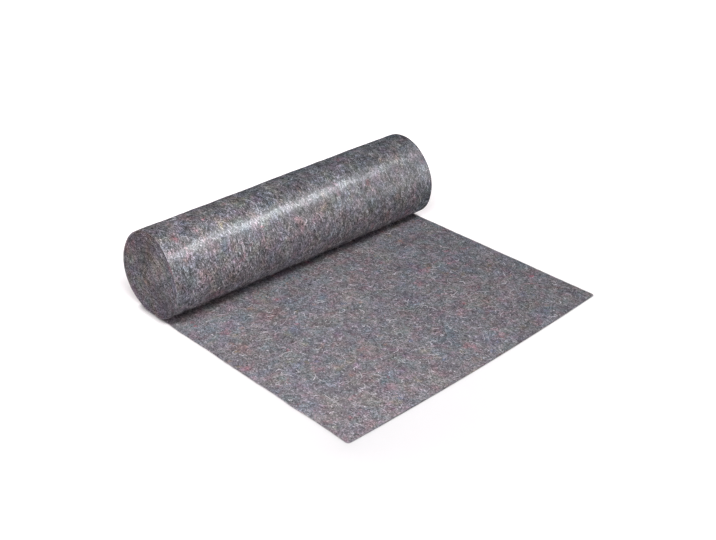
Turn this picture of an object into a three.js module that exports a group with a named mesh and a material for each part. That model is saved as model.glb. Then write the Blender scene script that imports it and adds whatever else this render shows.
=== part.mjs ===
// A roll of painter's fleece with its loose end pulled out flat over the floor.
// One length of needled felt with a film on the face that is wound outwards: it lies flat from its cut end,
// runs under the roll, up the back, over the top and down the front, and every inner turn follows.
// Millimetres. X runs along the roll, the loose end points to -Y, +Z is up and the floor is at zero.
import * as THREE from "three";

// The cloth, and how much of it is wound
const CLOTH_WIDTH = 1000;
const CLOTH_LENGTH = 25000;
const FLEECE_THICKNESS = 2.4;

// The roll: its mean radius, and how far its own weight and the winding pull it out of round
const ROLL_RADIUS = 134.6;
const WIDER_THAN_TALL = 0.0157;
const LEAN_TO_THE_FRONT = 0.0119;
const SAG_TO_THE_FOOT = 0.0241;
const FLAT_SPOT_DEPTH = 0.7;
const TELESCOPE = 2;
const ROLL_OFFSET = -5;

// The loose end: how far its cut end lies from the roll's axis, and how askew it was pulled and cut
const LOOSE_END_REACH = 812;
const PULLED_ASKEW = 16;
const CUT_BOW = 10.5;
const CUT_SLANT = 4.5;

// Where the roll's front comes down onto the loose end
const CREASE_MOUTH = 0.6;

// How finely the curves are drawn
const TURN_STEPS = 72;
const LOOSE_END_STEPS = 10;
const WIDTH_STEPS = 12;

const FOOT_ANGLE = -Math.PI / 2;
const FULL_TURN = 2 * Math.PI;

// The rise of each turn over the one inside it, from the roll's area and the length wound into it
const WOUND_LENGTH = CLOTH_LENGTH - LOOSE_END_REACH;
const TURN_RISE = (Math.PI * ROLL_RADIUS ** 2) / WOUND_LENGTH;

// The roll's radius at an angle from +Y towards +Z, as if it were not wound
function unwoundRadius(angle) {
  const oval = WIDER_THAN_TALL * Math.cos(2 * angle);
  const lean = LEAN_TO_THE_FRONT * Math.sin(2 * angle);
  const sag = SAG_TO_THE_FOOT * Math.sin(3 * angle);
  return ROLL_RADIUS * (1 + oval - lean - sag);
}

const AXIS_HEIGHT = unwoundRadius(FOOT_ANGLE) - FLAT_SPOT_DEPTH;

// A point on the outside of the outer turn, a share of a turn after it leaves the floor
function outerTurnPoint(share) {
  const angle = FOOT_ANGLE + share * FULL_TURN;
  const radius = unwoundRadius(angle) - share * TURN_RISE;
  const height = AXIS_HEIGHT + radius * Math.sin(angle);
  return new THREE.Vector2(radius * Math.cos(angle), Math.max(height, 0));
}

// The outside of the outer turn, from the floor up the back and down the front to the crease
function outerTurn() {
  const points = [];
  for (let step = 0; step <= TURN_STEPS; step += 1) {
    const point = outerTurnPoint(step / TURN_STEPS);
    const intoTheCrease = step > TURN_STEPS / 2 && point.y < FLEECE_THICKNESS + CREASE_MOUTH;
    if (intoTheCrease) break;
    points.push(point);
  }
  return points;
}

// The section across the roll and its loose end, as one closed outline in Y and Z
function clothSection() {
  const turn = outerTurn();
  const crease = turn[turn.length - 1].x;
  const run = LOOSE_END_REACH + crease;
  const along = Array.from({ length: LOOSE_END_STEPS + 1 }, (_, step) => crease - (run * step) / LOOSE_END_STEPS);
  const top = along.map((y) => new THREE.Vector2(y, FLEECE_THICKNESS));
  const underside = along.map((y) => new THREE.Vector2(y, 0)).reverse();
  return new THREE.Shape([...turn, ...top, ...underside]);
}

// 0 at the roll's axis and in the roll, 1 at the cut end
function shareOut(y) {
  return THREE.MathUtils.clamp(-y / LOOSE_END_REACH, 0, 1);
}

// Pulls the straight extrusion into the askew, unevenly cut cloth: u is -1 and 1 at the two edges
function pulledAskew(u, y, z) {
  const out = z > FLEECE_THICKNESS ? 0 : shareOut(y);
  const telescoped = z > FLEECE_THICKNESS ? TELESCOPE : 0;
  const cutBack = CUT_BOW * u * u + CUT_SLANT * u;
  const x = ROLL_OFFSET + u * (CLOTH_WIDTH / 2 + telescoped) - PULLED_ASKEW * out;
  return [x, y + cutBack * out, z];
}

function clothGeometry() {
  const extruded = new THREE.ExtrudeGeometry(clothSection(), { depth: 2, steps: WIDTH_STEPS, bevelEnabled: false });
  const place = extruded.getAttribute("position");
  for (let i = 0; i < place.count; i += 1) {
    place.setXYZ(i, ...pulledAskew(place.getZ(i) - 1, place.getX(i), place.getY(i)));
  }
  extruded.computeVertexNormals();
  return extruded;
}

// The origin goes to the middle of the footprint, on the floor
function centred(geometry) {
  geometry.computeBoundingBox();
  const middle = geometry.boundingBox.getCenter(new THREE.Vector3());
  return geometry.translate(-middle.x, -middle.y, 0);
}

const fleece = new THREE.MeshStandardMaterial({ color: 0x807c82, roughness: 0.9, metalness: 0 });

const roll = new THREE.Mesh(centred(clothGeometry()), fleece);
roll.name = "fleece_roll";

const group = new THREE.Group();
group.add(roll);

export default group;
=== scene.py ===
# A roll of painters fleece on its side, with its loose end pulled out flat over the floor.
# Metres. X runs along the roll, the loose end points to -Y, +Z is up and the floor is at zero.
import functools
import math
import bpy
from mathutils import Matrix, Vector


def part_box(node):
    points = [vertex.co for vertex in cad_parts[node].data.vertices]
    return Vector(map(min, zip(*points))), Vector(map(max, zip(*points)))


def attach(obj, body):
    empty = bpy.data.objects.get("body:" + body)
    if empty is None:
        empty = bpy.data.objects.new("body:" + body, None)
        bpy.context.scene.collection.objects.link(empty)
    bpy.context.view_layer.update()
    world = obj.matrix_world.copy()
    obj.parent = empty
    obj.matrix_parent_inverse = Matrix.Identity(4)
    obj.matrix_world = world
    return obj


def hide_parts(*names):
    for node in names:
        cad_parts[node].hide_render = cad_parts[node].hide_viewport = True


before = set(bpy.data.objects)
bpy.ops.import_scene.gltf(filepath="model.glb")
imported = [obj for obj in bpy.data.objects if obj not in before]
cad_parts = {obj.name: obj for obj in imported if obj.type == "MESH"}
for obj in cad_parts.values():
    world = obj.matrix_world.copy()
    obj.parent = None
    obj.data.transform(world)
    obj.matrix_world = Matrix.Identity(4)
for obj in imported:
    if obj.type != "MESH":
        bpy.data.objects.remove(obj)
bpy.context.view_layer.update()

from types import SimpleNamespace

import bpy
import numpy as np
from mathutils import Vector

# The cloth and the roll that is wound from it, with the sizes that the solid has
CLOTH_WIDTH = 1.0
CLOTH_LENGTH = 25.0
FLEECE_THICKNESS = 0.0024
ROLL_RADIUS = 0.1346
WIDER_THAN_TALL = 0.0157
LEAN_TO_THE_FRONT = 0.0119
SAG_TO_THE_FOOT = 0.0241
FLAT_SPOT_DEPTH = 0.0007
TELESCOPE = 0.002
ROLL_OFFSET = -0.005
LOOSE_END_REACH = 0.812
PULLED_ASKEW = 0.016
CUT_BOW = 0.0105
CUT_SLANT = 0.0045

# The winding: it leaves a small hole at the heart, and presses the felt thinner from just before the roll
HEART_RADIUS = 0.006
TURN_GAP = 0.0001
FOOT_ANGLE = -math.pi / 2
TURN_RISE = math.pi * (ROLL_RADIUS**2 - HEART_RADIUS**2) / (CLOTH_LENGTH - LOOSE_END_REACH)
TURNS = (ROLL_RADIUS - HEART_RADIUS) / TURN_RISE
PRESSED_THICKNESS = TURN_RISE - TURN_GAP
PRESSED_FROM, PRESSED_TO = -0.09, -0.03

# The mesh: fine squares where the cloth shows, to just past the outer turn, and long ones inside the roll
FINE_STEP = 0.0055
FINE_FILM_TURNS = (-0.01, 1.01)
FINE_FELT_ENDS = 0.01
INNER_STEP = 0.009
FEWEST_STEPS_A_TURN = 24
MOST_STEPS_A_TURN = 72
EDGE_ROUNDING = 0.0005
EDGE_SUPPORT = 0.0015
RIM_DEPTHS = (0.28, 0.72)
CORNER_ROUNDING = 0.007
FLOOR_LIFT = 0.0002

# How uneven the cloth is: lump size, height and seed, and the turns at which the faces begin and end to show
FELT_LUMPS = ((0.009, 0.00018, 21), (0.022, 0.00022, 22), (0.07, 0.00030, 23))
FILM_LUMPS = ((0.012, 0.00012, 31), (0.030, 0.00032, 32), (0.065, 0.00075, 33), (0.17, 0.0011, 34))
FELT_GOES_IN = (-0.02, 0.0)
FILM_COMES_OUT, FILM_GOES_IN = (0.0, 0.05), (0.95, 1.0)

# How uneven the edges are: wave length, height everywhere, height added on the loose end, and seed
EDGE_WAVES = ((0.07, 0.0004, 0.0009, 44), (0.012, 0.0002, 0.0003, 43))
LOOSE_END_STOPS = (-0.05, 0.05)

# How far turns stand out at the ends of the roll: turns in a group, height and seed
END_GROUPS = ((7.0, 0.0009, 41), (2.4, 0.0004, 45), (1.0, 0.00015, 42))
OUTER_TURN_STANDS_OUT = 0.0017
NEXT_TURN_SITS_BACK = 0.0016
TELESCOPED_SHARE = 0.3
TELESCOPE_GROWS, OUTER_TURN_STOPS, NEXT_TURN_STOPS = (0.02, 0.5), (0.97, 1.03), (1.6, 3.0)

# The lines of the noise that are read along the left and the right side, so that the two differ
END_NOISE_LINES = (2, 16)
EDGE_NOISE_LINES = (3, 13)

# The outer turns slid sideways when the loose end was pulled askew: out at the front, and in at the back
SLID_OUT = 0.0095
SLID_IN = 0.003
SLID_OUT_ANGLE = math.radians(190)
SLID_IN_ANGLE = math.radians(50)
SLID_SPREAD = 1.5
SLIDING_GROWS = (0.0, 0.15)
SLID_TURNS = 14.0

# The roll's low front hangs forward, most at its right end, and is drawn in at its left end
HANGS_FORWARD, HANGS_ASKEW = 0.0023, 0.0050
HANGS_BETWEEN = (math.radians(190), math.radians(228), math.radians(242), math.radians(256))
HANGING_TURNS = 12.0

# The kinds of faces, by their material's number, and how far the felt's pattern is moved from the film's
FILM, FELT, RIM = 0, 1, 2
FELT_LIES_ASIDE = 3.0


def unwound_radius(angle):
    """The roll's radius at an angle from +Y towards +Z, as if it were not wound."""
    oval = WIDER_THAN_TALL * np.cos(2 * angle)
    lean = LEAN_TO_THE_FRONT * np.sin(2 * angle)
    sag = SAG_TO_THE_FOOT * np.sin(3 * angle)
    return ROLL_RADIUS * (1 + oval - lean - sag)


AXIS_HEIGHT = float(unwound_radius(FOOT_ANGLE)) - FLAT_SPOT_DEPTH


def spiral(turn):
    """Y and Z of the outside of the wound cloth, so many turns after it leaves the floor."""
    angle = FOOT_ANGLE + 2 * math.pi * turn
    radius = unwound_radius(angle) * (1 - turn * TURN_RISE / ROLL_RADIUS)
    height = AXIS_HEIGHT + radius * np.sin(angle)
    lying_on = np.round(turn) * TURN_RISE
    lower_half = np.sin(angle) < 0
    return radius * np.cos(angle), np.where(lower_half, np.maximum(height, lying_on), height)


def roll_axis():
    """X and Y of the roll's middle, from the box of the solid."""
    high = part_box("fleece_roll")[1]
    half_degrees = np.linspace(0, 1, 2 * 360 + 1)
    behind = spiral(half_degrees)[0].max()
    return high.x - (ROLL_OFFSET + CLOTH_WIDTH / 2 + TELESCOPE), high.y - behind


AXIS_X, AXIS_Y = roll_axis()
TINY = 1e-9


def smooth(x, start, end):
    """0 before start, 1 after end, and a smooth rise between them."""
    t = np.clip((x - start) / (end - start), 0, 1)
    return t * t * (3 - 2 * t)


@functools.cache
def lattice(seed, size=512):
    """Random heights from -1 to 1 at the corners of a square grid."""
    return np.random.default_rng(seed).uniform(-1, 1, (size, size))


def lumps(across, along, cell, seed):
    """Smooth noise from -1 to 1 over the flat cloth, with lumps of about one cell."""
    heights = lattice(seed)
    x, y = np.asarray(across, float) / cell, np.asarray(along, float) / cell
    i, j = np.floor(x).astype(int), np.floor(y).astype(int)
    fx, fy = smooth(x - i, 0, 1), smooth(y - j, 0, 1)

    def corner(a, b):
        return heights[(i + a) % len(heights), (j + b) % len(heights)]

    near = corner(0, 0) * (1 - fx) + corner(1, 0) * fx
    far = corner(0, 1) * (1 - fx) + corner(1, 1) * fx
    return near * (1 - fy) + far * fy


def wound_turns():
    """The turns at which the mesh has a row, from where the cloth leaves the floor to the heart."""
    steps = round(2 * math.pi * ROLL_RADIUS / FINE_STEP)
    turns = [step / steps for step in range(steps)]
    turn = 1.0
    while turn < TURNS:
        turns.append(turn)
        steps = 2 * math.pi * (ROLL_RADIUS - turn * TURN_RISE) / INNER_STEP
        turn += 1 / min(max(steps, FEWEST_STEPS_A_TURN), MOST_STEPS_A_TURN)
    return np.array(turns + [TURNS])


def cloth_rows():
    """The film face's line in Y and Z, row by row from the cut end, and what lays the cloth on it."""
    floor_rows = round(LOOSE_END_REACH / FINE_STEP)
    on_floor = np.linspace(-LOOSE_END_REACH, 0, floor_rows + 1)[:-1]
    on_floor = np.insert(on_floor, 1, -LOOSE_END_REACH + EDGE_SUPPORT)
    turns = wound_turns()
    wound_y, wound_z = spiral(turns)
    y = np.concatenate([on_floor, wound_y])
    z = np.concatenate([0 * on_floor, wound_z])
    along = np.concatenate([[0], np.cumsum(np.hypot(np.diff(y), np.diff(z)))])
    slope_y, slope_z = np.gradient(y, along), np.gradient(z, along)
    pressed = np.concatenate([smooth(on_floor, PRESSED_FROM, PRESSED_TO), np.ones(len(turns))])
    return SimpleNamespace(
        y=y,
        z=z,
        along=along,
        turn=np.concatenate([on_floor / LOOSE_END_REACH, turns]),
        inward_y=-slope_z,
        inward_z=slope_y,
        thick=FLEECE_THICKNESS + (PRESSED_THICKNESS - FLEECE_THICKNESS) * pressed,
    )


ROWS = cloth_rows()
OUTER_TURN_END = float(np.interp(1, ROWS.turn, ROWS.along))


def slid(side, turn):
    """How far the left edge has slid out of the roll's end."""
    angle = FOOT_ANGLE + 2 * math.pi * turn
    out = SLID_OUT * np.maximum(np.cos(angle - SLID_OUT_ANGLE), 0) ** SLID_SPREAD
    inwards = SLID_IN * np.maximum(np.cos(angle - SLID_IN_ANGLE), 0) ** SLID_SPREAD
    return np.where(side < 0, (out - inwards) * np.exp(-np.maximum(turn, 0) / SLID_TURNS), 0)


def edge_shift(side, along, turn):
    """How far an edge stands out along X: telescoped in the roll, and a little wavy everywhere."""
    end_line = np.where(side < 0, *END_NOISE_LINES)
    edge_line = np.where(side < 0, *EDGE_NOISE_LINES)
    inside = smooth(turn, *OUTER_TURN_STOPS)
    group = sum(height * lumps(turn, end_line, turns, seed) for turns, height, seed in END_GROUPS)
    outer = OUTER_TURN_STANDS_OUT * (1 - inside)
    back = NEXT_TURN_SITS_BACK * inside * (1 - smooth(turn, *NEXT_TURN_STOPS))
    telescoped = TELESCOPED_SHARE * TELESCOPE + group * inside + outer - back
    shift = smooth(turn, *TELESCOPE_GROWS) * telescoped + smooth(turn, *SLIDING_GROWS) * slid(side, turn)
    loose = 1 - smooth(turn, *LOOSE_END_STOPS)
    for length, height, added, seed in EDGE_WAVES:
        shift = shift + (height + added * loose) * lumps(along, edge_line, length, seed)
    return shift


def hanging(share, turn):
    """How far the low front of the roll hangs forward."""
    angle = (FOOT_ANGLE + 2 * math.pi * turn) % (2 * math.pi)
    start, full, last, end = HANGS_BETWEEN
    low_front = smooth(angle, start, full) * (1 - smooth(angle, last, end))
    forward = (HANGS_FORWARD + HANGS_ASKEW * share) * low_front
    return forward * np.where(turn > 0, np.exp(-turn / HANGING_TURNS), 0)


def raised(share, along, turn, depth):
    """How far a face stands proud of its plain line, as felt does and the film drawn over it."""
    across = share * CLOTH_WIDTH / 2
    felt = sum(height * lumps(across, along, cell, seed) for cell, height, seed in FELT_LUMPS)
    film = sum(height * lumps(across, along, cell, seed) for cell, height, seed in FILM_LUMPS)
    felt_shows = 1 - smooth(turn, *FELT_GOES_IN)
    film_shows = smooth(turn, *FILM_COMES_OUT) * (1 - smooth(turn, *FILM_GOES_IN))
    return film * film_shows * (1 - depth) - felt * felt_shows * depth


def on_cloth(share, along, depth, proud=0.0):
    """Where a point of the flat cloth comes to lie.

    share goes from -1 to 1 over the width, along is the length from the cut end, and depth goes from 0
    at the film to 1 at the felt. proud is how far the point stands off the nearer face.
    """
    share, along, depth = np.broadcast_arrays(np.asarray(share, float), along, depth)
    y, z, turn, thick, inward_y, inward_z = (
        np.interp(along, ROWS.along, line)
        for line in (ROWS.y, ROWS.z, ROWS.turn, ROWS.thick, ROWS.inward_y, ROWS.inward_z)
    )
    y = y + np.minimum(along, 0)
    out = np.where(turn < 0, np.clip(-y / LOOSE_END_REACH, 0, 1), 0)
    from_corner = CORNER_ROUNDING - np.clip(along, 0, CORNER_ROUNDING)
    rounded = CORNER_ROUNDING - np.sqrt(CORNER_ROUNDING**2 - from_corner**2)
    side = np.where(share < 0, -1, 1)
    reach = CLOTH_WIDTH / 2 + edge_shift(side, along, turn) - rounded
    x = ROLL_OFFSET + share * reach - PULLED_ASKEW * out
    y = y + (CUT_BOW * share**2 + CUT_SLANT * share) * out
    inwards = depth * thick - raised(share, along, turn, depth) - hanging(share, turn)
    inwards = inwards + np.where(depth < 0.5, -proud, proud)
    height = np.maximum(z + inward_z * inwards, 0) + FLOOR_LIFT
    return np.stack([AXIS_X + x, AXIS_Y + y + inward_y * inwards, height], -1)


def columns(count):
    """Shares of the width at which a face has points, inside its rounded edges."""
    edge = 1 - 2 * EDGE_ROUNDING / CLOTH_WIDTH
    if count == 1:
        return np.array([-edge, edge])
    support = edge - 2 * EDGE_SUPPORT / CLOTH_WIDTH
    return np.concatenate([[-edge], np.linspace(-support, support, count - 1), [edge]])


def share_after(row, place):
    """The share of the width at the row's next point, and infinity past its end."""
    return row[place + 1][1] if place < len(row) - 1 else math.inf


class FlatMesh:
    """The cloth before it is wound: points in share, along and depth, and faces of three materials."""

    def __init__(self):
        self.points, self.faces, self.kinds = [], [], []

    def row(self, shares, along, depth):
        """Adds points across the cloth and returns their numbers, each with its share of the width."""
        first = len(self.points)
        self.points += [(share, along, depth) for share in shares]
        return list(zip(range(first, len(self.points)), shares))

    def join(self, near, far, kind, turned=False):
        """Fills the strip between two rows, also where one has more points than the other."""
        level = len(near) == len(far)
        i = j = 0
        while i < len(near) - 1 or j < len(far) - 1:
            near_steps = level or share_after(near, i) <= share_after(far, j)
            far_steps = level or not near_steps
            next_i, next_j = i + near_steps, j + far_steps
            ring = (near[i], near[next_i], far[next_j], far[j])
            corners = list(dict.fromkeys(number for number, _ in ring))
            i, j = next_i, next_j
            self.faces.append(corners[::-1] if turned else corners)
            self.kinds.append(kind)


def flat_cloth():
    """The whole length of cloth as one closed mesh."""
    mesh = FlatMesh()
    fine, few = columns(round(CLOTH_WIDTH / FINE_STEP)), columns(1)
    before = None
    for along, turn in zip(ROWS.along, ROWS.turn):
        film = mesh.row(fine if FINE_FILM_TURNS[0] <= turn <= FINE_FILM_TURNS[1] else few, along, 0)
        felt = mesh.row(fine if turn <= FINE_FELT_ENDS else few, along, 1)
        right = [mesh.row([1], along, depth)[0] for depth in RIM_DEPTHS]
        left = [mesh.row([-1], along, depth)[0] for depth in RIM_DEPTHS]
        rows = SimpleNamespace(
            film=film,
            felt=felt,
            right=[film[-1], *right, felt[-1]],
            left=[film[0], *left, felt[0]],
        )
        if before is None:
            close_cut_end(mesh, rows, fine)
        else:
            mesh.join(before.film, rows.film, FILM, turned=True)
            mesh.join(before.felt, rows.felt, FELT)
            mesh.join(before.right, rows.right, RIM, turned=True)
            mesh.join(before.left, rows.left, RIM)
        before = rows
    ring = [film[0], film[-1], *right, felt[-1], felt[0], *left[::-1]]
    mesh.faces.append([number for number, _ in reversed(ring)])
    mesh.kinds.append(RIM)
    return mesh


def close_cut_end(mesh, rows, shares):
    """The rounded face at the cut end, between the first rows of the two faces."""
    below = rows.film
    for k, depth in enumerate(RIM_DEPTHS):
        row = mesh.row(shares, -EDGE_ROUNDING, depth)
        row = [(rows.left[k + 1][0], -1), *row, (rows.right[k + 1][0], 1)]
        mesh.join(below, row, RIM)
        below = row
    mesh.join(below, rows.felt, RIM)


def new_mesh(name, places, faces):
    mesh = bpy.data.meshes.new(name)
    mesh.from_pydata(places.tolist(), [], faces)
    mesh.shade_smooth()
    piece = bpy.data.objects.new(name, mesh)
    bpy.context.scene.collection.objects.link(piece)
    return piece


def add_uv(mesh, name, corners):
    mesh.uv_layers.new(name=name).data.foreach_set("uv", np.asarray(corners, np.float32).ravel())


def corner_values(mesh, flat):
    """What each corner of each face needs for its maps.

    That is its place in the flat cloth, its face's kind, its place in the frame, and its face's middle in
    the flat cloth.
    """
    vertex = np.empty(len(mesh.loops), int)
    mesh.loops.foreach_get("vertex_index", vertex)
    sizes = np.empty(len(mesh.polygons), int)
    mesh.polygons.foreach_get("loop_total", sizes)
    points = np.array(flat.points)
    places = np.empty(len(mesh.vertices) * 3)
    mesh.vertices.foreach_get("co", places)
    face = np.repeat(np.arange(len(sizes)), sizes)
    starts = np.concatenate([[0], np.cumsum(sizes)[:-1]])
    middle = np.add.reduceat(points[vertex], starts) / sizes[:, None]
    return points[vertex], np.array(flat.kinds)[face], places.reshape(-1, 3)[vertex], middle[face]


def cloth_uv(points, kinds):
    """Metres across and along the cloth, and on its edges metres along them and in from the outside."""
    across = points[:, 0] * CLOTH_WIDTH / 2
    along, depth = points[:, 1], points[:, 2] * FLEECE_THICKNESS
    wound_in = TURN_RISE * np.maximum(np.interp(along, ROWS.along, ROWS.turn), 0)
    face = np.stack([across + FELT_LIES_ASIDE * (kinds == FELT), along], 1)
    rim = np.stack([across + along, depth + wound_in], 1)
    return np.where((kinds == RIM)[:, None], rim, face)


# Where each part of the cloth lies on the square of the bake map: left, bottom, right, top
BAKE_FELT = (0.004, 0.505, 0.604, 0.996)
BAKE_FILM = (0.004, 0.004, 0.604, 0.495)
BAKE_UNDERSIDE = (0.614, 0.004, 0.804, 0.154)
BAKE_HIDDEN = (0.814, 0.004, 0.996, 0.154)
BAKE_LEFT_END = (0.614, 0.604, 0.800, 0.790)
BAKE_RIGHT_END = (0.810, 0.604, 0.996, 0.790)
BAKE_LEFT_EDGE = (0.614, 0.210, 0.996, 0.222)
BAKE_RIGHT_EDGE = (0.614, 0.240, 0.996, 0.252)
BAKE_CUT_EDGE = (0.614, 0.270, 0.996, 0.282)

# The share of a fibre's own square that is left free on each side
BAKE_MARGIN = 0.15


def fitted(a, b, box):
    """Two coordinates, stretched to fill a box of the bake map."""
    u = (a - a.min()) / max(np.ptp(a), TINY)
    v = (b - b.min()) / max(np.ptp(b), TINY)
    return np.stack([box[0] + u * (box[2] - box[0]), box[1] + v * (box[3] - box[1])], 1)


def bake_uv(points, kinds, places, middle):
    """A map with most room for what shows, and a little for the turns inside the roll."""
    share, along, depth = points.T
    on_floor = middle[:, 1] < LOOSE_END_REACH
    outer = middle[:, 1] < OUTER_TURN_END
    rim = kinds == RIM
    cut_end = rim & (middle[:, 1] < 0)
    left = middle[:, 0] < 0
    side = rim & ~cut_end
    uv = np.zeros((len(points), 2))
    for chosen, a, b, box in (
        ((kinds == FELT) & on_floor, share, along, BAKE_FELT),
        ((kinds == FELT) & ~on_floor, along, share, BAKE_HIDDEN),
        ((kinds == FILM) & on_floor, share, along, BAKE_UNDERSIDE),
        ((kinds == FILM) & ~on_floor & outer, share, along, BAKE_FILM),
        ((kinds == FILM) & ~outer, along, share, BAKE_HIDDEN),
        (cut_end, share, depth, BAKE_CUT_EDGE),
        (side & on_floor & left, along, depth, BAKE_LEFT_EDGE),
        (side & on_floor & ~left, along, depth, BAKE_RIGHT_EDGE),
        (side & ~on_floor & left, places[:, 1], places[:, 2], BAKE_LEFT_END),
        (side & ~on_floor & ~left, places[:, 1], places[:, 2], BAKE_RIGHT_END),
    ):
        uv[chosen] = fitted(a[chosen], b[chosen], box)
    return uv


def make_fleece():
    """The cloth itself, from its cut end to the heart of the roll."""
    flat = flat_cloth()
    share, along, depth = np.array(flat.points).T
    piece = new_mesh("fleece", on_cloth(share, along, depth), flat.faces)
    mesh = piece.data
    for material in (film_material(), felt_material(), rim_material()):
        mesh.materials.append(material)
    mesh.polygons.foreach_set("material_index", flat.kinds)
    points, kinds, places, middle = corner_values(mesh, flat)
    add_uv(mesh, "cloth", cloth_uv(points, kinds))
    add_uv(mesh, "OFBake", bake_uv(points, kinds, places, middle))
    mesh.uv_layers.active = mesh.uv_layers["cloth"]
    mesh.uv_layers["cloth"].active_render = True
    return piece


# Loose fibres. Each is a thin ridge of three sides, laid on the cloth and curled as it comes
STRAND_SIDES = 3

# A ridge's height and the depth of its foot, both in its radius, its taper, and how its curl changes
RIDGE_HEIGHT = 0.8
RIDGE_FOOT = 0.3
RIDGE_TAPER = 0.9
CURL_CHANGES = 0.55

# How far from the cloth's middle line the middles and the ends of the fibres may lie
MIDDLES_WITHIN, ENDS_WITHIN = 0.49 * CLOTH_WIDTH, 0.497 * CLOTH_WIDTH

# How many there are, in how many steps, how long, how curly and how thick, how much they are stretched along
# the cloth, how proud they stand, between which places along it their middles and their ends lie, and a seed
FELT_THREADS = SimpleNamespace(
    count=2600,
    steps=12,
    length=(0.007, 0.034),
    curl=0.16,
    radius=(0.00032, 0.00072),
    stretch=1.0,
    proud=0.0001,
    middles=(0.008, LOOSE_END_REACH - 0.02),
    ends=(0.003, LOOSE_END_REACH),
    seed=51,
)
FILM_THREADS = SimpleNamespace(
    count=1500,
    steps=18,
    length=(0.010, 0.060),
    curl=0.17,
    radius=(0.00025, 0.00052),
    stretch=1.3,
    proud=0.0,
    middles=(LOOSE_END_REACH + 0.06, OUTER_TURN_END - 0.03),
    ends=(LOOSE_END_REACH + 0.02, OUTER_TURN_END),
    seed=52,
)

# Short hairs on the cut edges: the first stand at the cut end, the next along the rest of the loose end, and
# the others on the ends of the roll, where a power under 1 puts more of them on the inner turns
HAIRS = 5200
HAIRS_AT_CUT_END = 1300
HAIRS_ON_LOOSE_END = 2200
HAIR_STEPS = 3
HAIR_LENGTH = (0.0008, 0.0032)
HAIR_RADIUS = (0.00006, 0.00012)
HAIR_TIP = 0.35
HAIR_LEAN, HAIR_CURL = 0.7, 0.5
HAIR_ROOT = 0.0006
HAIR_DEPTHS = (0.15, 0.85)
HAIR_TURN_POWER = 0.6
HAIR_SEED = 53


def wandering(random, threads):
    """The paths of curly fibres in the flat cloth: metres across and along, from their middles."""
    each = (threads.count, 1)
    shortest, longest = threads.length
    reach = shortest + (longest - shortest) * random.random(each) ** 2
    steady = random.normal(0, threads.curl, each)
    changes = random.normal(0, threads.curl * CURL_CHANGES, (threads.count, threads.steps))
    bend = steady + np.cumsum(changes, 1)
    heading = random.uniform(0, 2 * math.pi, each) + np.cumsum(bend, 1)
    step = reach / threads.steps
    across = np.concatenate([np.zeros(each), np.cumsum(np.cos(heading) * step, 1)], 1)
    along = np.concatenate([np.zeros(each), np.cumsum(np.sin(heading) * step, 1)], 1)
    return across - across.mean(1, keepdims=True), along - along.mean(1, keepdims=True)


def ridges(across, along, depth, radius, rise):
    """The corners of the fibres' sections: two at the foot and one on top, thinner towards the ends."""
    slope_x, slope_y = np.gradient(across, axis=1), np.gradient(along, axis=1)
    size = np.maximum(np.hypot(slope_x, slope_y), TINY)
    place = np.linspace(-1, 1, across.shape[1])
    width = radius * np.sqrt(1 - RIDGE_TAPER * place**4)
    side_x, side_y = -slope_y / size * width, slope_x / size * width
    foot, top = rise - RIDGE_FOOT * radius, rise + RIDGE_HEIGHT * width
    corners = []
    for off, proud in ((-1, foot), (1, foot), (0, top)):
        share = (across + off * side_x) / (CLOTH_WIDTH / 2)
        corners.append(on_cloth(share, along + off * side_y, depth, proud))
    return np.stack(corners, 2)


def strand_faces(count, sections):
    """The faces of fibres of three sides, closed at both ends."""
    faces = []
    for strand in range(count):
        first = strand * sections * STRAND_SIDES
        for section in range(sections - 1):
            near = first + section * STRAND_SIDES
            for side in range(STRAND_SIDES):
                after = (side + 1) % STRAND_SIDES
                far = near + STRAND_SIDES
                faces.append((near + side, near + after, far + after, far + side))
        last = first + (sections - 1) * STRAND_SIDES
        faces.append((first + 2, first + 1, first))
        faces.append((last, last + 1, last + 2))
    return faces


def strand_uvs(mesh, count, sections, random):
    """For each fibre, a number and the place along it for the colour, and a square of the bake map."""
    vertex = np.empty(len(mesh.loops), int)
    mesh.loops.foreach_get("vertex_index", vertex)
    strand, rest = np.divmod(vertex, sections * STRAND_SIDES)
    section, side = np.divmod(rest, STRAND_SIDES)
    number = random.random(count)
    add_uv(mesh, "strand", np.stack([number[strand], section / (sections - 1) * STRAND_MAP_LENGTH], 1))
    squares = math.ceil(math.sqrt(count))
    row, column = np.divmod(strand, squares)
    room = 1 - 2 * BAKE_MARGIN
    u = (column + BAKE_MARGIN + room * section / (sections - 1)) / squares
    v = (row + BAKE_MARGIN + room * side / (STRAND_SIDES - 1)) / squares
    add_uv(mesh, "OFBake", np.stack([u, v], 1))
    mesh.uv_layers.active = mesh.uv_layers["strand"]
    mesh.uv_layers["strand"].active_render = True


def make_strands(name, material, corners, random):
    count, sections = corners.shape[:2]
    piece = new_mesh(name, corners.reshape(-1, 3), strand_faces(count, sections))
    strand_uvs(piece.data, count, sections, random)
    piece.data.materials.append(material)
    return piece


# How long each fibre is in the noise that makes it uneven, and how far apart the fibres lie there
STRAND_MAP_LENGTH = 2
STRANDS_APART = 900.0

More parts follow.
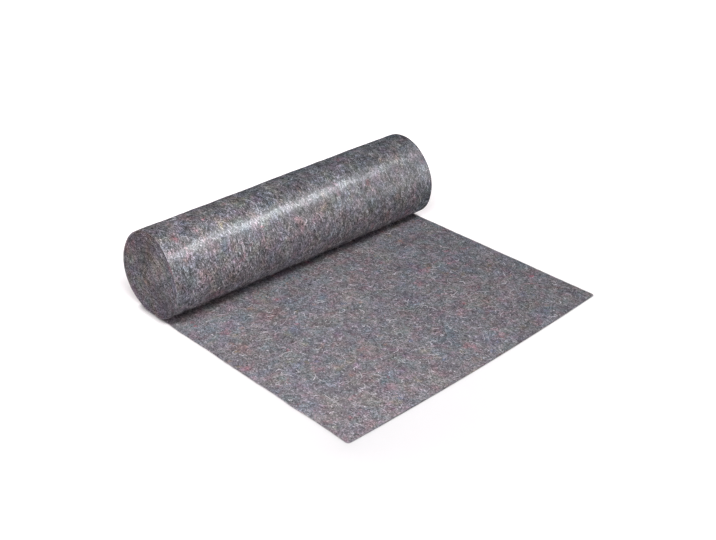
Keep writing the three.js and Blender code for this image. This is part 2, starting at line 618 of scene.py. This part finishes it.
# The colours of loose fibres: each shows for the numbers from its own up to the next
FELT_STRANDS = (
    (0.00, (0.40, 0.39, 0.41)),
    (0.30, (0.26, 0.25, 0.27)),
    (0.46, (0.60, 0.59, 0.61)),
    (0.56, (0.032, 0.030, 0.037)),
    (0.76, (0.060, 0.061, 0.075)),
    (0.88, (0.175, 0.130, 0.142)),
    (0.93, (0.120, 0.130, 0.137)),
    (0.97, (0.210, 0.180, 0.145)),
    (0.99, (0.250, 0.080, 0.100)),
)
FILM_STRANDS = (
    (0.00, (0.33, 0.33, 0.35)),
    (0.28, (0.66, 0.66, 0.69)),
    (0.42, (0.20, 0.19, 0.22)),
    (0.60, (0.012, 0.011, 0.016)),
    (0.84, (0.026, 0.029, 0.042)),
    (0.93, (0.150, 0.100, 0.112)),
    (0.97, (0.180, 0.160, 0.125)),
)


def make_threads(name, threads, depth, tones, filmed=False):
    """Curly fibres that lie loose on the felt face, or stand out under the film."""
    random = np.random.default_rng(threads.seed)
    across, along = wandering(random, threads)
    each = (threads.count, 1)
    middle_x = random.uniform(-MIDDLES_WITHIN, MIDDLES_WITHIN, each)
    middle_y = random.uniform(*threads.middles, each)
    across = np.clip(middle_x + across, -ENDS_WITHIN, ENDS_WITHIN)
    along = np.clip(middle_y + threads.stretch * along, *threads.ends)
    radius = random.uniform(*threads.radius, each)
    corners = ridges(across, along, depth, radius, threads.proud)
    return make_strands(name, strand_material(name, tones, filmed), corners, random)


def make_fuzz():
    """Short hairs along the cut edges and on the ends of the roll."""
    random = np.random.default_rng(HAIR_SEED)
    each = (HAIRS, 1)
    number = np.arange(HAIRS)[:, None]
    at_cut_end, on_loose_end = number < HAIRS_AT_CUT_END, number < HAIRS_ON_LOOSE_END
    place = np.linspace(0, 1, HAIR_STEPS + 1)
    length = random.uniform(*HAIR_LENGTH, each)
    lean = random.normal(0, HAIR_LEAN, each) + random.normal(0, HAIR_CURL, each) * place
    side = np.where(random.random(each) < 0.5, -1, 1)
    in_roll = np.interp(random.random(each) ** HAIR_TURN_POWER * TURNS, ROWS.turn, ROWS.along)
    along = np.where(on_loose_end, random.uniform(0, LOOSE_END_REACH, each), in_roll)
    out, over = length * place * np.cos(lean), length * place * np.sin(lean)
    on_cut_end = random.uniform(-CLOTH_WIDTH / 2, CLOTH_WIDTH / 2, each) + over
    across = np.where(at_cut_end, on_cut_end, side * (CLOTH_WIDTH / 2 - HAIR_ROOT + out))
    along = np.where(at_cut_end, HAIR_ROOT - out, along + over)
    depth = random.uniform(*HAIR_DEPTHS, each) + 0 * place
    corners = hairs(across, along, depth, random.uniform(*HAIR_RADIUS, each))
    return make_strands("edge_fuzz", strand_material("edge_fuzz", FELT_STRANDS), corners, random)


def hairs(across, along, depth, radius):
    """The corners of thin hairs that stand off an edge."""
    corners = []
    taper = radius * np.linspace(1, HAIR_TIP, across.shape[1])
    for corner in range(STRAND_SIDES):
        angle = 2 * math.pi * corner / STRAND_SIDES
        off, deep = taper * math.cos(angle), taper * math.sin(angle) / FLEECE_THICKNESS
        corners.append(on_cloth((across + off) / (CLOTH_WIDTH / 2), along + off, depth + deep))
    return np.stack(corners, 2)


# Materials


def new_material(name):
    material = bpy.data.materials.new(name)
    material.use_nodes = True
    return material, material.node_tree, material.node_tree.nodes["Principled BSDF"]


def add(tree, kind, settings=None, **inputs):
    """A new node: settings are its properties, and inputs are values or the sockets that feed it."""
    node = tree.nodes.new("ShaderNode" + kind)
    for key, value in (settings or {}).items():
        setattr(node, key, value)
    for key, value in inputs.items():
        put(tree, node.inputs[key.replace("_", " ")], value)
    return node


def put(tree, socket, value):
    """Links or sets a socket."""
    if isinstance(value, bpy.types.NodeSocket):
        tree.links.new(value, socket)
    else:
        socket.default_value = value


def set_values(shader, **values):
    """Sets the shader's own sockets, which are the same all over the surface."""
    for key, value in values.items():
        shader.inputs[key.replace("_", " ")].default_value = value


def maths(tree, operation, *values, clamp=False):
    node = add(tree, "Math", {"operation": operation, "use_clamp": clamp})
    for socket, value in zip(node.inputs, values):
        put(tree, socket, value)
    return node.outputs[0]


def span(tree, value, low, high, to_low=0.0, to_high=1.0):
    """A value's span from low to high, stretched to another span and clamped there."""
    node = add(tree, "MapRange", {"clamp": True}, Value=value)
    for key, number in (("From Min", low), ("From Max", high), ("To Min", to_low), ("To Max", to_high)):
        put(tree, node.inputs[key], number)
    return node.outputs["Result"]


def mixed(tree, share, first, second, blend="MIX"):
    node = add(tree, "Mix", {"data_type": "RGBA", "blend_type": blend})
    colours = [socket for socket in node.inputs if socket.type == "RGBA"]
    put(tree, node.inputs[0], share)
    for socket, value in zip(colours, (first, second)):
        put(tree, socket, value if isinstance(value, bpy.types.NodeSocket) else (*value, 1))
    return next(socket for socket in node.outputs if socket.type == "RGBA")


def grey(tree, value):
    return add(tree, "CombineColor", Red=value, Green=value, Blue=value).outputs[0]


def noise(tree, vector, scale, detail=2.0, rough=0.5, distortion=0.0, output="Fac"):
    node = add(tree, "TexNoise", {"noise_dimensions": "3D"}, Vector=vector, Scale=scale)
    node.inputs["Detail"].default_value = detail
    node.inputs["Roughness"].default_value = rough
    node.inputs["Distortion"].default_value = distortion
    return node.outputs[output]


def placed(tree, vector, scale=(1, 1), turn=0.0, shift=(0, 0)):
    """The cloth's coordinates, turned and stretched."""
    node = add(tree, "Mapping", {"vector_type": "POINT"}, Vector=vector)
    node.inputs["Location"].default_value = (*shift, 0)
    node.inputs["Rotation"].default_value = (0, 0, math.radians(turn))
    node.inputs["Scale"].default_value = (*scale, 1)
    return node.outputs["Vector"]


def ramp(tree, value, stops, interpolation="LINEAR"):
    node = add(tree, "ValToRGB", Fac=value)
    node.color_ramp.interpolation = interpolation
    elements = node.color_ramp.elements
    while len(elements) < len(stops):
        elements.new(0.5)
    for element, (position, colour) in zip(elements, stops):
        element.position = position
        element.color = (*colour, 1)
    return node.outputs["Color"]


def cloth_coordinates(tree):
    return add(tree, "UVMap", {"uv_map": "cloth"}).outputs["UV"]


def bumped(tree, socket, height, strength, distance):
    """Raises a surface by a height, of which 1 stands for so many metres."""
    bump = add(tree, "Bump", Height=height, Strength=strength, Distance=distance)
    put(tree, socket, bump.outputs["Normal"])


def summed(tree, terms):
    """The sum of each value times its weight."""
    total = 0.0
    for value, weight in terms:
        total = maths(tree, "MULTIPLY_ADD", value, weight, total)
    return total


def curls(tree, vector, scale, width, turn, stretch, shift):
    """Thin curly lines, 1 on a fibre and 0 beside it: where a crumpled noise crosses its middle."""
    way = placed(tree, vector, scale=(1, stretch), turn=turn, shift=shift)
    value = noise(tree, way, scale, detail=1.0, distortion=1.4)
    off = maths(tree, "ABSOLUTE", maths(tree, "SUBTRACT", value, 0.5))
    return span(tree, off, 0.0, width, 1.0, 0.0)


# Tints of the rags that are left in the grey: each shows for the numbers from its own up to the next
RAG_TINTS = (
    (0.00, (1.75, 0.66, 0.78)),
    (0.13, (1.36, 0.91, 0.94)),
    (0.30, (1.42, 0.97, 0.74)),
    (0.43, (1.25, 1.12, 0.64)),
    (0.59, (0.80, 1.06, 1.05)),
    (0.70, (0.78, 0.92, 1.26)),
    (0.82, (1.15, 0.84, 1.16)),
    (0.92, (1.55, 1.50, 1.54)),
)

# Faint stains in the grey: how many to a metre, a shift, and the tints that they run through
RED_STAINS = (24, (3.3, 8.1), (
    (0.32, (1.15, 0.94, 0.98)),
    (0.44, (1.03, 0.99, 1.00)),
    (0.56, (0.99, 1.00, 1.00)),
    (0.68, (0.90, 1.02, 1.03)),
))
YELLOW_STAINS = (17, (6.1, 2.7), (
    (0.34, (1.015, 1.015, 0.945)),
    (0.45, (1.000, 1.000, 0.990)),
    (0.55, (1.000, 1.000, 1.010)),
    (0.66, (0.993, 0.980, 1.050)),
))
DEEP_YELLOW_STAINS = (21, (6.1, 2.7), (
    (0.34, (1.028, 1.026, 0.900)),
    (0.45, (1.005, 1.000, 0.985)),
    (0.55, (0.997, 0.994, 1.018)),
    (0.66, (0.985, 0.965, 1.085)),
))
WIDE_STAINS = (5, (1.4, 4.2), (
    (0.34, (1.04, 0.99, 0.97)),
    (0.50, (1.00, 1.00, 1.00)),
    (0.66, (0.96, 1.01, 1.04)),
))
FELT_STAINS = (RED_STAINS, YELLOW_STAINS, WIDE_STAINS)
FILM_STAINS = (RED_STAINS, DEEP_YELLOW_STAINS, WIDE_STAINS)

# Spots of one colour: their spacing, the share of places with one, their radius, how strong, and a seed
FELT_SPOTS = ((0.036, 0.30, 0.55, 0.50, 1), (0.021, 0.10, 0.48, 0.90, 2), (0.009, 0.12, 0.50, 0.30, 3))
FILM_SPOTS = ((0.060, 0.42, 0.57, 0.62, 1), (0.030, 0.17, 0.48, 0.85, 2), (0.010, 0.12, 0.50, 0.30, 3))
RIM_SPOTS = ((0.030, 0.40, 0.60, 0.35, 1), (0.012, 0.12, 0.50, 0.35, 3))

# How a spot's outline is pushed about, in its own size, the share of it at full strength, how far each seed
# moves the pattern, and how strong the weakest spot is
SPOT_NOISE, SPOT_PUSH = 2.2, 1.1
SPOT_CORE = 0.3
SPOT_SHIFTS = (1.7, 2.3)
WEAKEST_SPOT = 0.35


def pushed_about(tree, vector, size, seed):
    """The cloth's coordinates, crumpled so that spots get ragged outlines."""
    wander = noise(tree, vector, SPOT_NOISE / size, detail=1.5, output="Color")
    push = add(tree, "VectorMath", {"operation": "SCALE"}, Vector=wander, Scale=SPOT_PUSH * size)
    moved = add(tree, "VectorMath", {"operation": "ADD"})
    put(tree, moved.inputs[0], placed(tree, vector, shift=[seed * shift for shift in SPOT_SHIFTS]))
    put(tree, moved.inputs[1], push.outputs[0])
    return moved.outputs[0]


def rag_flecks(tree, vector, size, share, fleck, seed):
    """Soft coloured spots: where they are, from 0 to 1, and their tint."""
    moved = pushed_about(tree, vector, size, seed)
    cells = add(tree, "TexVoronoi", {"voronoi_dimensions": "3D"}, Vector=moved, Scale=1 / size)
    chance = add(tree, "SeparateColor", Color=cells.outputs["Color"])
    near = span(tree, cells.outputs["Distance"], fleck, fleck * SPOT_CORE)
    there = maths(tree, "GREATER_THAN", chance.outputs[0], 1 - share)
    strength = span(tree, chance.outputs[2], 0.0, 1.0, WEAKEST_SPOT, 1.0)
    spot = maths(tree, "MULTIPLY", maths(tree, "MULTIPLY", near, there), strength)
    return spot, ramp(tree, chance.outputs[1], RAG_TINTS, "CONSTANT")


# Fibres: how light or dark, their scale, width, turn, stretch and shift
FELT_FIBRES = (
    (0.25, 140, 0.070, 12, 0.55, (0.0, 0.0)),
    (0.23, 110, 0.065, -58, 0.50, (2.2, 5.1)),
    (-0.20, 140, 0.080, 38, 0.55, (4.1, 3.2)),
    (-0.20, 105, 0.070, -24, 0.50, (9.4, 6.6)),
)
FILM_FIBRES = (
    (0.26, 130, 0.070, 12, 0.60, (0.0, 0.0)),
    (0.22, 90, 0.055, -58, 0.60, (2.2, 5.1)),
    (-0.26, 120, 0.090, 38, 0.65, (4.1, 3.2)),
    (-0.28, 80, 0.060, -24, 0.65, (9.4, 6.6)),
)

# How much each size of grain counts, from fine to wide: scale and weight
FELT_GRAINS = ((300, 0.40), (165, 0.60), (75, 0.46), (20, 0.34), (6, 0.20))
FILM_GRAINS = ((300, 0.30), (165, 0.57), (75, 0.62), (20, 0.37), (6, 0.14))

# The greys, from dark to light, and their green and blue for each part of red
FELT_TONES = ((0.0, 0.014), (0.25, 0.060), (0.50, 0.119), (0.75, 0.205), (1.0, 0.395))
FILM_TONES = ((0.0, 0.008), (0.25, 0.041), (0.50, 0.092), (0.75, 0.185), (1.0, 0.42))
# The cut edge's greys are darker than the faces', for its pressed felt and as painted shade in the hollows
# between its layers
RIM_TONES_AND_SHADE = ((0.0, 0.008), (0.25, 0.036), (0.50, 0.082), (0.75, 0.150), (1.0, 0.31))
GREEN_IN_GREY, BLUE_IN_GREY = 0.965, 1.04

# All that makes the colour of each kind of face
FELT_LOOK = SimpleNamespace(
    contrast=1.06,
    tones=FELT_TONES,
    grains=FELT_GRAINS,
    fibres=FELT_FIBRES,
    stains=FELT_STAINS,
    spots=FELT_SPOTS,
)
FILM_LOOK = SimpleNamespace(
    contrast=1.22,
    tones=FILM_TONES,
    grains=FILM_GRAINS,
    fibres=FILM_FIBRES,
    stains=FILM_STAINS,
    spots=FILM_SPOTS,
)
RIM_LOOK = SimpleNamespace(
    contrast=1.2,
    tones=RIM_TONES_AND_SHADE,
    grains=FELT_GRAINS,
    fibres=FELT_FIBRES,
    stains=FILM_STAINS,
    spots=RIM_SPOTS,
)


def felted(tree, vector, look):
    """The grey and the height of needled felt made of torn rags."""
    terms = []
    for scale, weight in look.grains:
        terms.append((noise(tree, vector, scale, rough=0.62, distortion=0.6), weight))
    for weight, *fibre in look.fibres:
        terms.append((curls(tree, vector, *fibre), weight))
    level = summed(tree, terms)
    middle = 0.5 * sum(weight for _, weight in look.grains)
    off = maths(tree, "SUBTRACT", level, middle)
    spread = maths(tree, "MULTIPLY_ADD", off, look.contrast, 0.5, clamp=True)
    stops = [(place, (tone, GREEN_IN_GREY * tone, BLUE_IN_GREY * tone)) for place, tone in look.tones]
    return ramp(tree, spread, stops), level


def stained(tree, vector, colour, look):
    """Faint wide stains, and on top spots of clearer colours."""
    for scale, shift, tints in look.stains:
        hue = noise(tree, placed(tree, vector, shift=shift), scale, detail=1.2, distortion=0.6)
        colour = mixed(tree, 1.0, colour, ramp(tree, hue, tints), "MULTIPLY")
    for size, share, fleck, strength, seed in look.spots:
        spot, tint = rag_flecks(tree, vector, size, share, fleck, seed)
        colour = mixed(tree, maths(tree, "MULTIPLY", spot, strength), colour, tint, "MULTIPLY")
    return colour


def felt_material():
    """The felt face: matt and fibrous."""
    material, tree, shader = new_material("felt_face")
    vector = cloth_coordinates(tree)
    colour, level = felted(tree, vector, FELT_LOOK)
    put(tree, shader.inputs["Base Color"], stained(tree, vector, colour, FELT_LOOK))
    set_values(shader, Roughness=0.95, Specular_IOR_Level=0.15)
    bumped(tree, shader.inputs["Normal"], level, strength=0.6, distance=0.0014)
    return material


def film_height(tree, vector, level):
    """The film's own surface: fine wrinkles along the cloth, dimples, and a little of the felt below."""
    wrinkles = noise(tree, placed(tree, vector, scale=(1, 0.36)), scale=150, detail=1.0, distortion=0.6)
    dimples = noise(tree, vector, scale=75, detail=1.0)
    return summed(tree, [(wrinkles, 0.95), (dimples, 1.15), (level, 0.25)])


def film_material():
    """The film face: the same felt under a thin clear film, which is drawn over it in fine wrinkles."""
    material, tree, shader = new_material("film_face")
    vector = cloth_coordinates(tree)
    colour, level = felted(tree, placed(tree, vector, scale=(1, 0.75)), FILM_LOOK)
    put(tree, shader.inputs["Base Color"], stained(tree, vector, colour, FILM_LOOK))
    set_values(shader, Roughness=0.6, Specular_IOR_Level=0.35)
    set_values(shader, Coat_Weight=1.0, Coat_IOR=1.85, Coat_Roughness=0.27)
    height = film_height(tree, vector, level)
    bumped(tree, shader.inputs["Coat Normal"], height, strength=0.5, distance=0.0012)
    bumped(tree, shader.inputs["Normal"], level, strength=0.5, distance=0.0012)
    return material


# On the roll's ends, in metres in from its outside: the outer turn is lighter, as its less pressed felt is
# and as a painted highlight where its cut edge catches the light, and the gap behind it has a painted shadow
OUTER_RIM_ENDS = (0.0042, 0.0050)
GAP_SHADOW_STARTS, GAP_SHADOW_ENDS = (0.0044, 0.0052), (0.0066, 0.0080)
OUTER_RIM_TONE_AND_HIGHLIGHT, GAP_PAINTED_SHADOW = 0.6, -0.5


def painted_ring_shade(tree, place, wound):
    """Light and dark rings along the turns, painted shade and light where turns stand out or sink, and wide
    patches of tone.
    """
    rings = noise(tree, placed(tree, wound, scale=(0.09, 1)), scale=230, detail=1.5, rough=0.6)
    wide_rings = noise(tree, placed(tree, wound, scale=(0.12, 1)), scale=60, detail=1.0)
    patch = noise(tree, place, scale=42, detail=3.0)
    shade = summed(tree, [(patch, 0.2), (rings, 1.5), (wide_rings, 0.5)])
    return span(tree, shade, 0.60, 1.60, 0.70, 1.30)


def outer_turn_tone_and_painted_light(tree, wound):
    """How much lighter the outer turn is, for its less pressed felt and as a painted highlight on its cut
    edge, and how much darker the gap behind it is, as a painted shadow.
    """
    inwards = add(tree, "SeparateXYZ", Vector=wound).outputs["Y"]
    # The outer turn: its less pressed, lighter felt, and a painted highlight where its cut edge catches the
    # light
    outer = span(tree, inwards, *OUTER_RIM_ENDS, 1.0, 0.0)
    # Painted shadow in the gap behind the outer turn
    past_start = span(tree, inwards, *GAP_SHADOW_STARTS)
    before_end = span(tree, inwards, *GAP_SHADOW_ENDS, 1.0, 0.0)
    painted_gap_shadow = maths(tree, "MULTIPLY", past_start, before_end)
    return summed(tree, [(outer, OUTER_RIM_TONE_AND_HIGHLIGHT), (painted_gap_shadow, GAP_PAINTED_SHADOW), (1.0, 1.0)])


def rim_material():
    """The cut edge: pressed fibres in layers, darker than the faces, as pressed felt is and as painted shade
    in the hollows between the layers, with rings of painted shade and light where turns stand out or sink.
    """
    material, tree, shader = new_material("cut_edge")
    place = add(tree, "TexCoord").outputs["Object"]
    wound = cloth_coordinates(tree)
    colour, level = felted(tree, place, RIM_LOOK)
    colour = stained(tree, place, colour, RIM_LOOK)
    # Painted shade and light on the roll's ends: rings where turns stand out or sink, a highlight on the
    # outer turn's edge and a shadow in the gap behind it
    shade = maths(tree, "MULTIPLY", painted_ring_shade(tree, place, wound), outer_turn_tone_and_painted_light(tree, wound))
    put(tree, shader.inputs["Base Color"], mixed(tree, 1.0, colour, grey(tree, shade), "MULTIPLY"))
    set_values(shader, Roughness=0.95, Specular_IOR_Level=0.15)
    bumped(tree, shader.inputs["Normal"], level, strength=0.8, distance=0.0014)
    return material


def strand_material(name, tones, filmed=False):
    """Loose fibres: each has its own colour, a little uneven along it, and some lie under the film."""
    material, tree, shader = new_material(name)
    strand = add(tree, "SeparateXYZ", Vector=add(tree, "UVMap", {"uv_map": "strand"}).outputs["UV"])
    number, along = strand.outputs["X"], strand.outputs["Y"]
    way = add(tree, "CombineXYZ", X=maths(tree, "MULTIPLY", number, STRANDS_APART), Y=along)
    uneven = span(tree, noise(tree, way.outputs[0], scale=6.0), 0.3, 0.7, 0.6, 1.25)
    colour = mixed(tree, 1.0, ramp(tree, number, tones, "CONSTANT"), grey(tree, uneven), "MULTIPLY")
    put(tree, shader.inputs["Base Color"], colour)
    set_values(shader, Roughness=0.8, Specular_IOR_Level=0.25)
    if filmed:
        set_values(shader, Coat_Weight=0.7, Coat_Roughness=0.35)
    return material


# Stage, lights and camera. Places are given from the middle of the roll, on the floor
CAMERA_AZIMUTH = -44.19
CAMERA_ELEVATION = 28.81
CAMERA_DISTANCE = 3.467
CAMERA_LENS = 57.5
CAMERA_LOOKS_AT = (0.0925, -0.2081, 0.0)


def direction(azimuth, elevation):
    """From the object towards a place round it: azimuth 0 is at -Y, and elevation is above the floor."""
    a, e = math.radians(azimuth), math.radians(elevation)
    return Vector((math.sin(a) * math.cos(e), -math.cos(a) * math.cos(e), math.sin(e)))


def from_roll(place):
    """A place given from the roll's middle, in the frame."""
    return Vector((AXIS_X + place[0], AXIS_Y + place[1], place[2]))


def make_camera():
    data = bpy.data.cameras.new("camera")
    data.lens = CAMERA_LENS
    data.sensor_width = 36.0
    data.clip_start, data.clip_end = 0.05, 100.0
    camera = bpy.data.objects.new("camera", data)
    bpy.context.scene.collection.objects.link(camera)
    back = direction(CAMERA_AZIMUTH, CAMERA_ELEVATION)
    camera.location = from_roll(CAMERA_LOOKS_AT) + back * CAMERA_DISTANCE
    camera.rotation_euler = (-back).to_track_quat("-Z", "Y").to_euler()
    bpy.context.scene.camera = camera


def place_light(data, location, back):
    """Puts a light where it shines away from a direction."""
    light = bpy.data.objects.new(data.name, data)
    bpy.context.scene.collection.objects.link(light)
    light.location = location
    light.rotation_euler = (-back).to_track_quat("-Z", "Y").to_euler()
    light.visible_camera = False


def make_panel(name, place, looks_at, size, watts, colour):
    """A soft panel at a place, turned to another."""
    data = bpy.data.lights.new(name, "AREA")
    data.shape = "RECTANGLE"
    data.size, data.size_y = size
    data.energy = watts
    data.color = colour
    place_light(data, from_roll(place), (Vector(place) - Vector(looks_at)).normalized())


def make_dome_light(name, azimuth, elevation, strength, wide, colour):
    """Even light from a wide patch of the sky, the same wherever its lamp stands."""
    data = bpy.data.lights.new(name, "SUN")
    data.energy = strength
    data.angle = math.radians(wide)
    data.color = colour
    place_light(data, Vector((0, 0, 3)), direction(azimuth, elevation))


# Even light from wide patches of the sky: name, azimuth, elevation, strength, degrees across and colour
DOME_LIGHTS = (
    ("right", 53, 44, 0.26, 50, (1.0, 1.0, 1.0)),
    ("front", -10, 20, 0.20, 40, (1.0, 0.86, 0.87)),
)

# Soft panels: name, place, what they look at, size, watts and colour
PANELS = (
    ("key", (-1.1, -1.05, 1.85), (-0.1, -0.35, 0.0), (0.9, 0.9), 64, (1.0, 0.99, 1.005)),
    ("low_left", (-1.7, -1.1, 0.9), (-0.1, -0.2, 0.1), (0.9, 0.9), 18.5, (1.0, 0.87, 0.90)),
    ("low_right", (1.6, -1.35, 0.40), (0.3, -0.1, 0.20), (0.9, 0.9), 2.9, (1.0, 1.0, 1.0)),
    ("strip", (1.22, -1.14, 1.93), (0.82, 0, 0.10), (1.0, 0.25), 11.7, (0.90, 0.96, 1.0)),
)


def make_lights():
    for light in DOME_LIGHTS:
        make_dome_light(*light)
    for panel in PANELS:
        make_panel(*panel)


# The floor's own grey, and its glow, which grows away from a place on it
FLOOR_HALF_WIDTH = 30.0
FLOOR_GREY = 0.45
FLOOR_GLOW = 1.08
GLOW_TINT = (1, 0.94, 0.945, 1)
GLOW_MIDDLE = (-0.51, -0.47, 0.0)
GLOWS_FULLY_AT = 1.9

# The shadow close beside the object: how far it reaches, how open a place is where the shadow is deepest and
# where it ends, and what is left of the light where it is deepest
CONTACT_SHADOW_REACH = 0.018
CONTACT_SHADOW_SPAN = (0.55, 0.97)
DEEPEST_SHADOW = 0.3

# The light of the sky, and the wall far round the floor
SKY_COLOUR = (0.77, 0.90, 1.0, 1)
SKY_STRENGTH = 0.115
WALL_RADIUS, WALL_HEIGHT, WALL_SIDES = 28.0, 12.0, 48


def contact_shadow(tree):
    """1 in the open, and less close beside what stands or lies on the floor."""
    open_sky = add(tree, "AmbientOcclusion", {"samples": 6}, Distance=CONTACT_SHADOW_REACH)
    return span(tree, open_sky.outputs["AO"], *CONTACT_SHADOW_SPAN, DEEPEST_SHADOW, 1.0)


def floor_glow(tree):
    """The glow's strength, which grows with the distance from its middle."""
    away = add(tree, "VectorMath", {"operation": "DISTANCE"})
    put(tree, away.inputs[0], add(tree, "TexCoord").outputs["Object"])
    away.inputs[1].default_value = GLOW_MIDDLE
    return span(tree, away.outputs["Value"], 0.0, GLOWS_FULLY_AT, 0.0, FLOOR_GLOW)


def floor_material():
    material, tree, shader = new_material("floor")
    shadow = contact_shadow(tree)
    put(tree, shader.inputs["Base Color"], grey(tree, maths(tree, "MULTIPLY", shadow, FLOOR_GREY)))
    set_values(shader, Roughness=0.9, Specular_IOR_Level=0.0, Emission_Color=GLOW_TINT)
    put(tree, shader.inputs["Emission Strength"], maths(tree, "MULTIPLY", floor_glow(tree), shadow))
    return material


def make_floor():
    """A white floor that glows away from the roll, as a lit backdrop does."""
    half = FLOOR_HALF_WIDTH
    places = np.array([(-half, -half, 0), (half, -half, 0), (half, half, 0), (-half, half, 0)])
    floor = new_mesh("floor", places, [(0, 1, 2, 3)])
    floor.data.materials.append(floor_material())
    floor.visible_glossy = False


def make_wall():
    """A white wall far round the floor, which shows behind the object and sheds no light on it."""
    turns = np.linspace(0, 2 * math.pi, WALL_SIDES, endpoint=False)
    ring = np.stack([WALL_RADIUS * np.cos(turns), WALL_RADIUS * np.sin(turns)], 1)
    places = np.concatenate([np.insert(ring, 2, height, 1) for height in (0, WALL_HEIGHT)])
    after = [(side + 1) % WALL_SIDES for side in range(WALL_SIDES)]
    faces = [(i, j, WALL_SIDES + j, WALL_SIDES + i) for i, j in enumerate(after)]
    wall = new_mesh("wall", places, faces)
    material, _, shader = new_material("wall")
    set_values(shader, Base_Color=(0, 0, 0, 1), Specular_IOR_Level=0.0)
    set_values(shader, Emission_Color=(1, 1, 1, 1), Emission_Strength=1.0)
    wall.data.materials.append(material)
    wall.visible_diffuse = wall.visible_glossy = wall.visible_shadow = False


def make_sky():
    world = bpy.data.worlds.new("studio")
    world.use_nodes = True
    background = world.node_tree.nodes["Background"]
    background.inputs["Color"].default_value = SKY_COLOUR
    background.inputs["Strength"].default_value = SKY_STRENGTH
    bpy.context.scene.world = world
    bpy.context.scene.view_settings.view_transform = "Standard"


def declare(piece):
    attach(piece, "root")
    return piece


make_camera()
make_floor()
make_wall()
make_sky()
make_lights()

fleece = declare(make_fleece())
felt_threads = declare(make_threads("felt_threads", FELT_THREADS, 1, FELT_STRANDS))
film_threads = declare(make_threads("film_threads", FILM_THREADS, 0, FILM_STRANDS, filmed=True))
fuzz = declare(make_fuzz())
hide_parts("fleece_roll")
